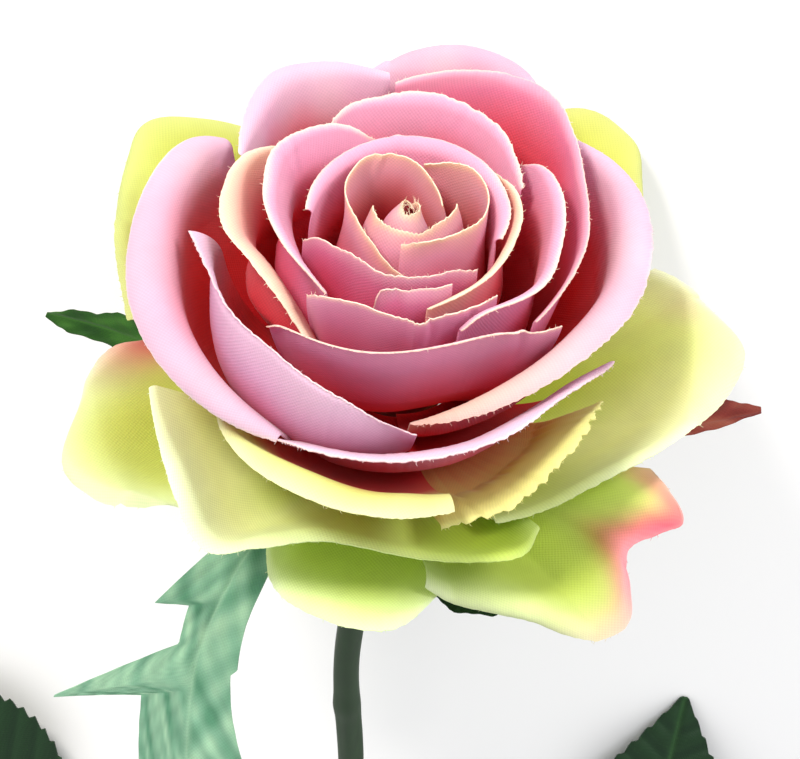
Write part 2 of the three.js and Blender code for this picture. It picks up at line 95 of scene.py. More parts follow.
def blend_colours(stops, places):
    """Linear colours along stops of (place, hex), at an array of places."""
    at = [stop[0] for stop in stops]
    shades = np.array([linear(stop[1]) for stop in stops])
    return np.stack([np.interp(places, at, shades[:, k]) for k in range(3)], -1)


# ---------------------------------------------------------------- materials

def add(tree, kind, settings=None, links=None):
    """Adds a node, sets its properties and sockets, and links sockets to other outputs."""
    node = tree.nodes.new(kind)
    for name, value in (settings or {}).items():
        if isinstance(name, int) or name in node.inputs:
            node.inputs[name].default_value = value
        else:
            setattr(node, name, value)
    for name, source in (links or {}).items():
        tree.links.new(source, node.inputs[name])
    return node


def new_material(name):
    material = bpy.data.materials.new(name)
    material.use_nodes = True
    material.node_tree.nodes.clear()
    return material


def show(tree, shader):
    add(tree, "ShaderNodeOutputMaterial", links={"Surface": shader.outputs[0]})


def woven_polyester(name, pitch, roughness, sheen, show_through, mottle):
    """Dyed plain-weave polyester, sized and heat-set.

    Fine crossed threads give a soft grain and a faint sheen. The dye takes unevenly, so the
    tone drifts over a few millimetres. Light that falls on the back glows through the cloth
    in a deeper, redder tone of the dye; the folds between petals take their colour from this
    glow and from the crimson painted shade in the deep stops of the petals' colours.
    pitch is the thread pitch drawn, in mm: the real one, 0.3 mm, is too fine to show.
    """
    material = new_material(name)
    tree = material.node_tree
    cut = add(tree, "ShaderNodeUVMap", {"uv_map": "cut"})
    dye_and_painted_light = add(tree, "ShaderNodeAttribute", {"attribute_name": "dye_and_painted_light"})
    axes = add(tree, "ShaderNodeSeparateXYZ", links={0: cut.outputs[0]})
    threads = []
    for axis in axes.outputs[:2]:
        turns = add(tree, "ShaderNodeMath", {"operation": "MULTIPLY", 1: math.pi / (pitch * MM)},
                    {0: axis})
        threads.append(add(tree, "ShaderNodeMath", {"operation": "SINE"}, {0: turns.outputs[0]}))
    weave = add(tree, "ShaderNodeMath", {"operation": "MULTIPLY"},
                {0: threads[0].outputs[0], 1: threads[1].outputs[0]})
    slubs = add(tree, "ShaderNodeTexNoise", {"Scale": 1100.0, "Detail": 2.0},
                {"Vector": cut.outputs[0]})
    drift = add(tree, "ShaderNodeTexNoise", {"Scale": 120.0, "Detail": 4.0},
                {"Vector": cut.outputs[0]})
    grain = add(tree, "ShaderNodeMath", {"operation": "MULTIPLY_ADD", 1: 0.05, 2: 1 - mottle / 2},
                {0: weave.outputs[0]})
    tone = add(tree, "ShaderNodeMath", {"operation": "MULTIPLY_ADD", 1: mottle},
               {0: drift.outputs["Fac"], 2: grain.outputs[0]})
    colour = add(tree, "ShaderNodeVectorMath", {"operation": "SCALE"},
                 {0: dye_and_painted_light.outputs["Color"], "Scale": tone.outputs[0]})
    relief = add(tree, "ShaderNodeMath", {"operation": "MULTIPLY_ADD", 1: 0.7},
                 {0: slubs.outputs["Fac"], 2: weave.outputs[0]})
    bump = add(tree, "ShaderNodeBump", {"Strength": 0.42, "Distance": 0.00006},
               {"Height": relief.outputs[0]})
    deeper = add(tree, "ShaderNodeGamma", {"Gamma": 1.8}, {"Color": colour.outputs[0]})
    face = add(tree, "ShaderNodeBsdfPrincipled",
               {"Roughness": roughness, "Specular IOR Level": 0.18, "IOR": 1.5,
                "Sheen Weight": sheen, "Sheen Roughness": 0.4},
               {"Base Color": colour.outputs[0], "Normal": bump.outputs[0]})
    glow = add(tree, "ShaderNodeBsdfTranslucent", links={"Color": deeper.outputs[0]})
    cloth = add(tree, "ShaderNodeMixShader", {0: show_through},
                {1: face.outputs[0], 2: glow.outputs[0]})
    show(tree, cloth)
    return material


def moulded_plastic(name, colour, lighter, roughness):
    """Polyethylene, moulded or extruded: a waxy gloss over a tone that drifts a little."""
    material = new_material(name)
    tree = material.node_tree
    place = add(tree, "ShaderNodeTexCoord")
    stretch = add(tree, "ShaderNodeMapping", {"Scale": (1, 0.06, 1)},
                  {"Vector": place.outputs["Object"]})
    streaks = add(tree, "ShaderNodeTexNoise", {"Scale": 700.0, "Detail": 4.0},
                  {"Vector": stretch.outputs[0]})
    tones = add(tree, "ShaderNodeMix",
                {"data_type": "RGBA", 6: (*linear(colour), 1), 7: (*linear(lighter), 1)},
                {0: streaks.outputs["Fac"]})
    bump = add(tree, "ShaderNodeBump", {"Strength": 0.2, "Distance": 0.0001},
               {"Height": streaks.outputs["Fac"]})
    face = add(tree, "ShaderNodeBsdfPrincipled", {"Roughness": roughness, "IOR": 1.5},
               {"Base Color": tones.outputs[2], "Normal": bump.outputs[0]})
    show(tree, face)
    return material


def bead_foam(name, colour):
    """Expanded polystyrene, dipped in dye: dull beads about 2 mm across, pressed together."""
    material = new_material(name)
    tree = material.node_tree
    place = add(tree, "ShaderNodeTexCoord")
    beads = add(tree, "ShaderNodeTexVoronoi", {"Scale": 450.0}, {"Vector": place.outputs["Object"]})
    bump = add(tree, "ShaderNodeBump", {"Strength": 0.5, "Distance": 0.0003, "invert": True},
               {"Height": beads.outputs["Distance"]})
    face = add(tree, "ShaderNodeBsdfPrincipled",
               {"Base Color": (*linear(colour), 1), "Roughness": 0.8, "IOR": 1.5},
               {"Normal": bump.outputs[0]})
    show(tree, face)
    return material


def drawn_steel(name):
    """Galvanised wire, drawn: a grey metal with a dull, even shine and fine draw lines."""
    material = new_material(name)
    tree = material.node_tree
    place = add(tree, "ShaderNodeTexCoord")
    stretch = add(tree, "ShaderNodeMapping", {"Scale": (1, 0.02, 1)},
                  {"Vector": place.outputs["Object"]})
    lines = add(tree, "ShaderNodeTexNoise", {"Scale": 4000.0}, {"Vector": stretch.outputs[0]})
    bump = add(tree, "ShaderNodeBump", {"Strength": 0.2, "Distance": 0.00005},
               {"Height": lines.outputs["Fac"]})
    face = add(tree, "ShaderNodeBsdfPrincipled",
               {"Base Color": (*linear("#A9ACAF"), 1), "Metallic": 1.0, "Roughness": 0.35},
               {"Normal": bump.outputs[0]})
    show(tree, face)
    return material


def matt_board(name, colour):
    """Plain pale board for the floor."""
    material = new_material(name)
    tree = material.node_tree
    face = add(tree, "ShaderNodeBsdfPrincipled",
               {"Base Color": (*linear(colour), 1), "Roughness": 0.9, "Specular IOR Level": 0.1})
    show(tree, face)
    return material


PETAL_CLOTH = woven_polyester("woven polyester, dyed", 0.37, 0.75, 0.12, 0.4, 0.16)
SEPAL_CLOTH = woven_polyester("woven polyester, printed", 0.37, 0.75, 0.1, 0.3, 0.45)
LEAF_CLOTH = woven_polyester("woven polyester, waxed", 0.5, 0.45, 0.0, 0.08, 0.3)
STEM_PLASTIC = moulded_plastic("polyethylene, extruded", "#0A240A", "#183A12", 0.55)
CUP_PLASTIC = moulded_plastic("polyethylene, moulded", "#3B5A2C", "#54763C", 0.5)
CORE_FOAM = bead_foam("polystyrene foam, dyed", "#9E1A34")
WIRE_STEEL = drawn_steel("steel wire, drawn")

# ---------------------------------------------------------------- the nest of cups

def smooth_course(points, places):
    """Points of a Catmull-Rom curve through a list of points, at places from 0 to 1."""
    knots = np.asarray(points, float)
    first = 2 * knots[0] - knots[1]
    last = 2 * knots[-1] - knots[-2]
    knots = np.vstack([first, knots, last])
    spans = len(knots) - 3
    run = np.clip(np.asarray(places), 0, 1) * spans
    span = np.minimum(run.astype(int), spans - 1)
    t = (run - span)[:, None]
    p0, p1, p2, p3 = (knots[span + k] for k in range(4))
    m1, m2 = (p2 - p0) / 2, (p3 - p1) / 2
    return (
        (2 * t**3 - 3 * t**2 + 1) * p1 + (t**3 - 2 * t**2 + t) * m1
        + (3 * t**2 - 2 * t**3) * p2 + (t**3 - t**2) * m2
    )


def foot_share(distance):
    """How much of the foot's direction a cup keeps at a distance from the core's middle."""
    u = np.clip((distance - CORE_RADIUS) / (CUP_REACH - CORE_RADIUS), 0, 1)
    return (1 - u) ** 1.2


def foot_angle(spread):
    return np.interp(spread, CUP_SPREADS, CUP_FOOT_ANGLES)


def cup_point(spread, distance):
    """(radius, height) of the cup of a spread, at a distance from the core's middle."""
    angle = np.radians(spread + (foot_angle(spread) - spread) * foot_share(distance))
    return distance * np.sin(angle), CORE_RADIUS + distance * np.cos(angle)


def cup_through(radius, height):
    """The spreads of the cups through points, and the points' distances from the core's middle."""
    distance = np.hypot(radius, height - CORE_RADIUS)
    angle = np.degrees(np.arctan2(radius, height - CORE_RADIUS))
    spreads = []
    for one_angle, share in zip(angle, foot_share(distance)):
        ends = [s + (f - s) * share for s, f in zip(CUP_SPREADS, CUP_FOOT_ANGLES)]
        spreads.append(np.interp(one_angle, ends, CUP_SPREADS))
    return np.array(spreads), distance


# ---------------------------------------------------------------- petals

# rim: the crest, left to right seen from outside, as (azimuth in degrees, radius, height).
# foot: how far off the core's ball an inner petal starts. roll: cloth past the crest, as
# (left, middle, right) lengths and the angle it turns through. dye and painted light: colours
# by the depth below the cut edge, in mm, the cloth's own dip dye with painted shade in the dark
# crimson of the deep stops. belly: how far the cloth stands out below its edge. flare: how far
# it is drawn in there, so that its edge leans outwards. wavy: unevenness of the cloth, in mm.
# frayed: how ragged the cut edge is, in mm. threads: the count and the greatest length of its
# loose ends, where they are not worked out from frayed. notches: the cutter's count and depth.
# creases: (place across, length down from the edge, half width, depth).
# blushes and painted light: (place across, depth, reach across, reach in depth, colour,
# strength). Some are the cloth's own blushes, others painted light and painted shade.

# Colours by depth below the cut edge, in mm: the cloth's own dip dye, with the dark crimson of the deep
# stops partly painted shade, for the folds between petals that lie in shade.
HEART = [(0, "#F7E9CF"), (0.4, "#F1D4BE"), (1.2, "#EEBCC0"), (4, "#ECAEC4"), (8, "#EC90A8"),
         (13, "#EC5C74"), (20, "#E62C40"), (28, "#E01C34")]
PINK = [(0, "#F7E8D6"), (0.35, "#F1CCD2"), (0.8, "#ECB4D0"), (4.5, "#EAA4CA"), (9, "#EC88B0"),
        (14, "#EE5C7C"), (20, "#EA3448"), (28, "#DE1826")]
PEACH = [(0, "#F8EBD2"), (0.8, "#F3D4BC"), (2.8, "#F0B8B0"), (6, "#EE9CA2"), (11, "#EE6E78"),
         (16, "#EC404C"), (22, "#E62834"), (28, "#DC1826")]
LILAC = [(0, "#F2E0E2"), (0.5, "#E6C8DC"), (6, "#E0B2D4"), (10, "#E496BC"), (14, "#EA6C84"),
         (20, "#EA3A46"), (27, "#E22030"), (38, "#D81020")]
# A darker copy of the pink at every depth: painted shade, for petals that lie in shade.
PAINTED_SHADE_PINK = [(0, "#F4E0D2"), (0.4, "#EAB0C6"), (3, "#E688B0"), (8, "#E8648C"), (15, "#EC3C54"),
          (24, "#DE1424")]
YELLOW = [(0, "#EDEDBC"), (2, "#E8E9A8"), (7, "#E2E08C"), (10.5, "#E6B676"), (14, "#E6604A"),
          (22, "#E02032")]
ORANGE = [(0, "#E6E89A"), (4, "#DFDE80"), (9, "#DCCA72"), (14, "#E6A070"), (20, "#E6584C"),
          (28, "#D81828")]
GREEN = [(0, "#F2F8DA"), (2, "#EEF6C8"), (10, "#E5F0A8"), (20, "#D6E67C"), (30, "#C8DA58"),
         (44, "#B8C83C")]

PETALS = {
    "bud_twist": dict(
        threads=(34, 2.0), frayed=0.4,
        foot=11, dye_and_painted_light=HEART,
        rim=[(20, 0.9, 47.3), (110, 1.1, 48.3), (200, 1.3, 48), (290, 1.6, 47.2), (380, 1.9, 47.4),
             (440, 2.3, 46)]),
    "heart_front": dict(
        frayed=0.35,
        foot=9, dye_and_painted_light=HEART,
        rim=[(165, 6, 46), (205, 5.8, 47), (245, 5.8, 47), (285, 5.6, 46.5), (330, 6.4, 47),
             (370, 9, 48)]),
    "heart_left": dict(
        creases=[(0.33, 9, 0.5, 0.5)], frayed=0.25,
        flare=1.6, foot=9, dye_and_painted_light=HEART,
        rim=[(28, 7, 46), (65, 8, 49), (95, 11, 50), (125, 13, 50), (150, 12, 49.5), (175, 11, 48.5),
             (205, 9.5, 47), (240, 10, 45.5), (272, 12, 42)]),
    "heart_right": dict(
        frayed=0.25,
        flare=1.4, foot=8, dye_and_painted_light=HEART,
        rim=[(-92, 9, 46.5), (-60, 10, 48), (-30, 12, 48.5), (-5, 14, 49), (25, 15, 49.5), (50, 14, 50),
             (78, 11, 49)]),
    "inner_back": dict(
        creases=[(0.62, 6, 0.6, 0.4)],
        flare=2.2, foot=7, dye_and_painted_light=PINK, roll=(2, 3, 2, 110),
        rim=[(-14, 16.5, 44.6), (10, 16.8, 45.8), (40, 16.8, 46.8), (75, 16.3, 47.8), (110, 15.8, 47.8),
             (150, 15.8, 46.6), (185, 16.6, 45)]),
    "inner_front": dict(
        frayed=0.3,
        flare=1, foot=7, dye_and_painted_light=PAINTED_SHADE_PINK,
        rim=[(203, 19, 44), (212, 17, 46), (235, 15, 46.5), (258, 16.5, 46), (280, 17.2, 46),
             (302, 17, 46), (318, 18, 45)]),
    "inner_right": dict(
        flare=2, foot=6, dye_and_painted_light=PEACH, roll=(1, 2, 0, 70),
        rim=[(-76, 21.6, 42.2), (-52, 21, 44), (-25, 19.8, 45.2), (0, 19.6, 46.2), (22, 19.8, 46.8),
             (40, 20, 46.8)]),
    "inner_tuck": dict(
        creases=[(0.5, 9, 0.6, 0.4)],
        foot=6, dye_and_painted_light=PAINTED_SHADE_PINK,
        rim=[(258, 19.5, 40), (262, 19.5, 44.5), (278, 19.5, 45), (298, 19.5, 45.5)]),
    "cup_back": dict(
        creases=[(0.45, 9, 0.7, 0.5)], frayed=0.3,
        flare=2.6, foot=5, dye_and_painted_light=PINK, roll=(1, 2, 0, 60),
        rim=[(28, 22.6, 45), (42, 24.6, 46.2), (58, 27.6, 47.2), (80, 30.2, 47.6), (100, 29.4, 47.6),
             (115, 29.4, 46.8), (127, 27.6, 44.8)]),
    "cup_left": dict(
        creases=[(0.3, 7, 0.8, 0.5)],
        flare=4.2, foot=5, dye_and_painted_light=PINK, roll=(0, 2, 1, 60),
        rim=[(108, 23, 45), (125, 26, 46.6), (153, 26.3, 47.4), (175, 24.8, 46.8), (200, 23.5, 46.2),
             (220, 23, 44.3), (236, 22, 41)]),
    "cup_right": dict(
        flare=2, foot=5, dye_and_painted_light=PINK, roll=(2, 2.5, 0, 70),
        rim=[(-65, 26, 40), (-55, 27, 43.3), (-32, 28.2, 44), (-8, 26.8, 45.2), (16, 27.3, 46),
             (36, 28.2, 45.6), (46, 28, 43.4)]),
    "cup_front": dict(
        creases=[(0.62, 10, 0.6, 0.5), (0.8, 8, 0.5, 0.4)], frayed=0.3,
        flare=1, foot=5, dye_and_painted_light=PINK,
        rim=[(228, 23.5, 40), (238, 25, 43.5), (255, 24, 44), (272, 25, 43.5), (280, 26, 43),
             (292, 25, 44), (306, 25, 44.5), (316, 24, 43.5)]),
    "bowl_left": dict(
        flare=4, foot=3, dye_and_painted_light=PEACH, roll=(0, 3, 1, 70),
        rim=[(136, 28.6, 43), (153, 31.8, 43.8), (175, 31.3, 44), (194, 30.6, 43), (208, 28, 41.2),
             (222, 26.5, 38), (238, 26.5, 33)]),
    "bowl_front": dict(
        frayed=0.3, creases=[(0.78, 12, 1.2, 0.5)],
        flare=1, foot=3, dye_and_painted_light=PINK, roll=(1.5, 1, 0, 60),
        rim=[(226, 31, 36), (236, 32, 39), (262, 32.5, 41), (286, 31, 42), (303, 31, 42.2),
             (316, 33.2, 41.2), (328, 34, 39)]),
    "outer_folded": dict(
        # Its deep pink blush low on the fold is painted shade in the recess there.
        belly=7, blushes_and_painted_light=[(0.6, 17, 0.3, 8, "#E04A72", 0.8)], frayed=0.3,
        dye_and_painted_light=LILAC, roll=(9, 1, 0, 75),
        rim=[(190, 32, 37.5), (202, 33, 38.5), (220, 35.5, 38.5), (238, 36.5, 38), (256, 38.5, 36),
             (268, 39.7, 33), (278, 39.7, 30.3)]),
    "outer_left": dict(
        wavy=0.7,
        flare=1.5, dye_and_painted_light=LILAC, roll=(3, 9, 2, 115),
        rim=[(147, 39, 40), (155, 40, 41), (168, 40.5, 40.5), (188, 41.5, 38), (205, 43, 34.5),
             (222, 43.5, 31), (234, 43, 28), (245, 42, 25.5)]),
    "outer_right": dict(
        frayed=0.35, blushes_and_painted_light=[(0.06, 3, 0.25, 8, "#F0CDB4", 0.85)],
        flare=1.5, dye_and_painted_light=LILAC, roll=(1, 7, 2, 110),
        rim=[(-83, 34, 27.5), (-71, 36, 31.3), (-51, 37, 35.5), (-30, 37, 37.5), (-10, 38, 38.6),
             (8, 39.3, 39.2), (22, 41, 40), (35, 42.3, 40.3), (47, 43, 40)]),
    "outer_back_right": dict(
        flare=1, dye_and_painted_light=PAINTED_SHADE_PINK, roll=(1, 2, 1, 60),
        rim=[(-41, 31.4, 41.3), (-26, 31.3, 42.8), (-9, 31.3, 43.8), (10, 31.8, 44.2), (27, 34, 44.3),
             (42, 38, 45.3), (52, 41, 47), (63, 42, 48.3), (80, 38.5, 48.5), (97, 35, 47)]),
    "outer_back_left": dict(
        flare=2, dye_and_painted_light=LILAC, roll=(2, 4, 1, 90),
        rim=[(98, 39, 45.5), (112, 41, 46), (126, 42, 45), (140, 38, 43.3), (152, 34.5, 42)]),
    "outer_back": dict(
        flare=1.5, dye_and_painted_light=LILAC, roll=(1, 5, 2, 90),
        rim=[(58, 45, 40.5), (68, 49.5, 43.3), (80, 49, 45), (92, 46.5, 44), (102, 45, 41.5)]),
    "skirt_front": dict(
        frayed=0.4, wavy=0.7,
        flare=2.5, dye_and_painted_light=LILAC, roll=(1, 2, 1, 50),
        rim=[(246, 44, 27), (256, 46, 29), (272, 47, 30.5), (288, 46, 31.5), (306, 43, 32.5),
             (322, 42, 33), (336, 42, 31)]),
    "skirt_left": dict(
        wavy=0.8,
        dye_and_painted_light=YELLOW, roll=(0.5, 8, 5, 80),
        rim=[(225, 41.5, 21.5), (239, 45, 24.3), (255, 47.5, 25), (269, 48, 24), (278, 47.3, 23),
             (285, 46, 21.5)]),
    "skirt_right": dict(
        # Its pale yellow blush in the middle is painted light, lifting the shade there.
        frayed=0.6, blushes_and_painted_light=[(0.5, 9, 0.8, 14, "#EEE8A0", 0.85)], notches=(11, 0.9), wavy=0.7,
        dye_and_painted_light=ORANGE, flare=1.5, roll=(1, 3, 1, 50),
        rim=[(284, 45.5, 14), (293, 47.5, 17.5), (302, 47.5, 21), (310, 46.5, 24.5), (320, 45, 26.5),
             (328, 43.5, 27)]),
    "guard_left": dict(
        # The near-white blush is a painted highlight; the deep green one is the cloth's own tone.
        wavy=1.6, blushes_and_painted_light=[(0.32, 8, 0.3, 12, "#F6F8EA", 0.8), (0.85, 6, 0.3, 14, "#C4DA3E", 0.9)],
        dye_and_painted_light=GREEN, roll=(2, 4, 1, 60),
        rim=[(206, 45.5, 18), (218, 47.5, 14.5), (229, 50, 10), (239, 52.5, 6.5), (248, 49, 9.2),
             (262, 45.5, 11.5), (286, 45, 7.5), (301, 47.5, 6.5), (309, 45, 7)]),
    "guard_right": dict(
        wavy=1.2,
        # The near-white blush is a painted highlight.
        blushes_and_painted_light=[(0.5, 12, 0.3, 14, "#F2F4DC", 0.6), (0.72, 3, 0.2, 5, "#ECC8A8", 0.4),
                 (0.12, 8, 0.2, 14, "#BECD4E", 0.8)],
        dye_and_painted_light=GREEN, roll=(1, 3, 2, 50),
        rim=[(-61, 42, 9), (-48, 43.5, 10), (-32, 46, 11.5), (-14, 53, 13), (-4, 59, 15), (5, 62, 19),
             (12, 55, 22.5), (19, 47, 24.5)]),
    "guard_back_left": dict(
        wavy=1.2, blushes_and_painted_light=[(0.5, 10, 1.5, 30, "#CED466", 0.8)],
        dye_and_painted_light=GREEN, roll=(1, 3, 4, 70),
        rim=[(120, 57, 23), (129, 63, 25), (138, 66, 26), (147, 61, 25), (160, 54, 22), (173, 48, 19),
             (182, 44.5, 16)]),
    "guard_back_right": dict(
        wavy=1.2, blushes_and_painted_light=[(0.5, 10, 1.5, 30, "#CED05C", 0.8)],
        dye_and_painted_light=GREEN, roll=(2, 3, 1, 60),
        rim=[(34, 52, 17), (46, 62, 22), (54, 68, 25), (63, 67, 26), (74, 58, 23)]),
    "guard_low_left": dict(
        wavy=2.4, blushes_and_painted_light=[(0.5, 14, 0.6, 10, "#C2C25A", 0.6), (0.1, 3, 0.16, 6, "#E0506A", 0.85)],
        dye_and_painted_light=GREEN, roll=(1, 2, 0, 50),
        rim=[(174, 41, 9.5), (182, 49, 9), (190, 56, 4), (199, 60, -2), (207, 54, -5), (216, 43, -6)]),
    "guard_low_front": dict(
        wavy=1.2, blushes_and_painted_light=[(0.6, 14, 0.8, 12, "#CCE070", 0.6)],
        dye_and_painted_light=GREEN, roll=(1, 4, 1, 50),
        rim=[(242, 40, -1), (250, 45, -4), (264, 46, -6.5), (276, 45.5, -8.5), (287, 41, -8.5)]),
    "guard_low_right": dict(
        wavy=2.8,
        # The brown-red blush inside the curled tip is partly its own pink and partly painted shade; the
        # pink blushes at the tip are its own.
        blushes_and_painted_light=[(0.62, 6, 0.1, 5, "#C8604C", 0.75), (0.4, 12, 0.5, 12, "#BCCD5A", 0.7),
                 (0.8, 2, 0.2, 5, "#E8587A", 0.95), (0.6, 1, 0.2, 3.5, "#F0A0B0", 0.85)],
        dye_and_painted_light=GREEN, roll=(3, 3, 1, 60),
        rim=[(283, 40, -3), (292, 43, -7), (303, 49, -9), (311, 55.5, -9.5), (317, 59.5, -7),
             (322, 56, -3.5), (326, 52.5, 0), (330, 57, 3), (334, 60, 5), (340, 51, 7)]),
}


PETAL_ROWS = 64
BELLY_REACH = 24  # how far below the cut edge a belly and a flare run out, in mm
FLARE_REACH = 15


def arch(depth, reach):
    """Rises from nothing at the cut edge to 1 halfway down, and falls to nothing at the reach."""
    return np.sin(math.pi * np.clip(depth / reach, 0, 1))


def ripple(across, along, draw, amount):
    """Unevenness of cloth set by hand: slow waves that grow towards the rim."""
    height = np.zeros_like(across)
    for _ in range(6):
        turns = draw.uniform(0.5, 3.2)
        lean = draw.uniform(-1.5, 1.5)
        phase = draw.uniform(0, 2 * math.pi)
        height += np.sin(2 * math.pi * (turns * across + lean * along) + phase) / (0.5 + turns)
    return amount * height / 2 * along**2


def cut_edge(columns, draw, ragged, notches):
    """How far a cut edge stands out or in at each column: a slow wander, small frayed teeth,
    and notches of the cutter, given as their count and depth."""
    places = np.linspace(0, 1, columns)
    wander = sum(math.sin(7 * k) * np.sin(k * 9 * places + draw.uniform(0, 6)) for k in (1, 2, 3))
    teeth = np.array([draw.uniform(-1, 1) for _ in range(columns)])
    count, deep = notches
    return ragged * (0.5 * teeth + 0.3 * wander) - deep * ((count * places) % 1)


def petal_sheet(petal, rows, columns, edge):
    """Bloom points of a petal's cloth, and the depth of each below the cut edge, in mm."""
    across = np.linspace(0, 1, columns)
    crest = smooth_course(petal["rim"], across)
    spread, reach = cup_through(crest[:, 1], crest[:, 2])
    left, middle, right, turn = petal.get("roll", (0, 0, 0, 0))
    side = np.where(across < 0.5, left, right)
    roll = side + (middle - side) * np.sin(math.pi * np.minimum(across, 1 - across))
    foot = CORE_RADIUS + petal.get("foot", OUTER_FOOT)
    length = reach - foot + roll
    # Rows are closer together near the cut edge, where the ragged teeth are.
    stage = 1 - np.linspace(1, 0, rows)[:, None] ** 1.4
    run = stage * length[None, :] + stage**12 * edge[None, :]
    on_cup = np.minimum(run, reach - foot)
    radius, height = cup_point(spread[None, :], foot + on_cup)
    at = cup_point(spread, reach)
    before = cup_point(spread, reach - 0.2)
    heading = np.arctan2(at[1] - before[1], at[0] - before[0])[None, :]
    past = run - on_cup
    curl = np.maximum(math.radians(turn) / np.maximum(roll, 0.5), 1e-6)[None, :]
    radius = radius + (np.sin(heading) - np.sin(heading - curl * past)) / curl
    height = height + (np.cos(heading - curl * past) - np.cos(heading)) / curl
    azimuth = np.radians(crest[:, 0])[None, :]
    points = np.stack([radius * np.cos(azimuth), radius * np.sin(azimuth), height], -1)
    return points, length[None, :] + edge[None, :] - run


def sheet_normals(points):
    along = np.gradient(points, axis=0)
    across = np.gradient(points, axis=1)
    normal = np.cross(across, along)
    return normal / np.maximum(np.linalg.norm(normal, axis=-1, keepdims=True), 1e-9)


def sheet_flat(points):
    """Places on the flat cut, in mm: across the cloth from its middle, and up from its foot."""
    steps_across = np.linalg.norm(np.diff(points, axis=1), axis=-1)
    steps_along = np.linalg.norm(np.diff(points, axis=0), axis=-1)
    rows, columns = points.shape[:2]
    x = np.hstack([np.zeros((rows, 1)), np.cumsum(steps_across, axis=1)])
    x -= x[:, columns // 2][:, None]
    y = np.vstack([np.zeros((1, columns)), np.cumsum(steps_along, axis=0)])
    return x, y


def loose_threads(starts, directions, shades, draw, longest):
    """Threads that stand out of a cut edge: thin three-sided spikes that bend a little."""
    spots, faces, colours = [], [], []
    for start, direction, shade in zip(starts, directions, shades):
        length = draw.uniform(0.35, 1.0) * longest
        wobble = np.array([draw.uniform(-1, 1) for _ in range(3)])
        aim = direction + 0.7 * wobble
        aim /= np.linalg.norm(aim)
        side = np.cross(aim, wobble)
        side /= np.linalg.norm(side)
        other = np.cross(aim, side)
        middle = start + aim * 0.5 * length
        tip = middle + (aim + 0.5 * side) * 0.5 * length
        first = len(spots)
        for centre, radius in ((start - aim * 0.15, 0.06), (middle, 0.05)):
            for k in range(3):
                angle = 2 * math.pi * k / 3
                spots.append(centre + radius * (side * math.cos(angle) + other * math.sin(angle)))
        spots.append(tip)
        for k in range(3):
            after = (k + 1) % 3
            faces.append((first + k, first + after, first + 3 + after, first + 3 + k))
            faces.append((first + 3 + k, first + 3 + after, first + 6))
        faces.append((first + 2, first + 1, first))
        colours += [shade] * 7
    return spots, faces, colours


def add_threads(piece, threads, material):
    """Joins loose threads, in bloom millimetres, to a cloth piece."""
    spots, faces, colours = threads
    mesh = bpy.data.meshes.new("threads")
    world = bloom_to_world(np.array(spots))
    world[:, 2] = np.maximum(world[:, 2], LIFT / 2)
    mesh.from_pydata(world.tolist(), [], faces)
    mesh.uv_layers.new(name="cut")
    shades = mesh.color_attributes.new("dye_and_painted_light", "FLOAT_COLOR", "POINT")
    full = np.concatenate([np.array(colours), np.ones((len(colours), 1))], -1)
    shades.data.foreach_set("color", full.reshape(-1))
    mesh.materials.append(material)
    fringe = bpy.data.objects.new("threads", mesh)
    bpy.context.collection.objects.link(fringe)
    bpy.ops.object.select_all(action="DESELECT")
    fringe.select_set(True)
    piece.select_set(True)
    bpy.context.view_layer.objects.active = piece
    bpy.ops.object.join()


def cloth_piece(name, world, flat, dyes_and_painted_light, thickness, material):
    """A closed sheet of cloth from a grid of world points, with its flat places as its UV map.

    dyes and painted light: the colours of its outside and of its inside, dye with painted light and shade.
    """
    world[..., 2] = np.maximum(world[..., 2], LIFT)
    rows, columns = world.shape[:2]
    bpy.ops.object.select_all(action="DESELECT")
    bpy.ops.mesh.primitive_grid_add(x_subdivisions=columns - 1, y_subdivisions=rows - 1, size=1)
    piece = bpy.context.object
    piece.name = name
    mesh = piece.data
    mesh.vertices.foreach_set("co", world.reshape(-1))
    corners = np.empty(len(mesh.loops), dtype=np.int32)
    mesh.loops.foreach_get("vertex_index", corners)
    while mesh.uv_layers:
        mesh.uv_layers.remove(mesh.uv_layers[0])
    layer = mesh.uv_layers.new(name="cut")
    places = np.stack([flat[0].reshape(-1), flat[1].reshape(-1)], -1) * MM
    layer.data.foreach_set("uv", places[corners].reshape(-1))
    mesh.update()
    thicken = piece.modifiers.new("cloth", "SOLIDIFY")
    thicken.thickness = thickness * MM
    thicken.offset = 0
    bpy.ops.object.modifier_apply(modifier=thicken.name)
    shades = mesh.color_attributes.new("dye_and_painted_light", "FLOAT_COLOR", "POINT")
    both = np.concatenate([dye_and_painted_light.reshape(-1, 3) for dye_and_painted_light in dyes_and_painted_light])
    full = np.concatenate([both, np.ones((len(both), 1))], -1)
    shades.data.foreach_set("color", full.reshape(-1))
    mesh.materials.append(material)
    bpy.ops.object.shade_smooth_by_angle(angle=math.radians(40))
    return piece


def declare_cloth(piece, stands_for):
    """Hangs a cloth piece under the root, and hides the CAD part that it stands for."""
    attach(piece, "root")
    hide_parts(stands_for)


def petal_dye_and_painted_light(petal, depth, across, draw):
    """Linear colours of a petal: dipped tip to foot, darkening to crimson towards the foot partly
    as painted shade of the deep folds, with a wandering line and its blushes, some of which are
    painted light and painted shade.
    """
    wander = 1.2 * np.sin(9 * across + draw.uniform(0, 6))
    wander += 0.8 * np.sin(23 * across + draw.uniform(0, 6))
    dye_and_painted_light = blend_colours(petal["dye_and_painted_light"], depth + wander * np.clip(depth / 6, 0, 1))
    for place, deep, reach, reach_deep, colour, strength in petal.get("blushes_and_painted_light", ()):
        apart = ((across - place) / reach) ** 2 + ((depth - deep) / reach_deep) ** 2
        share = (strength * np.exp(-apart))[..., None]
        dye_and_painted_light = dye_and_painted_light * (1 - share) + np.array(linear(colour)) * share
    return dye_and_painted_light


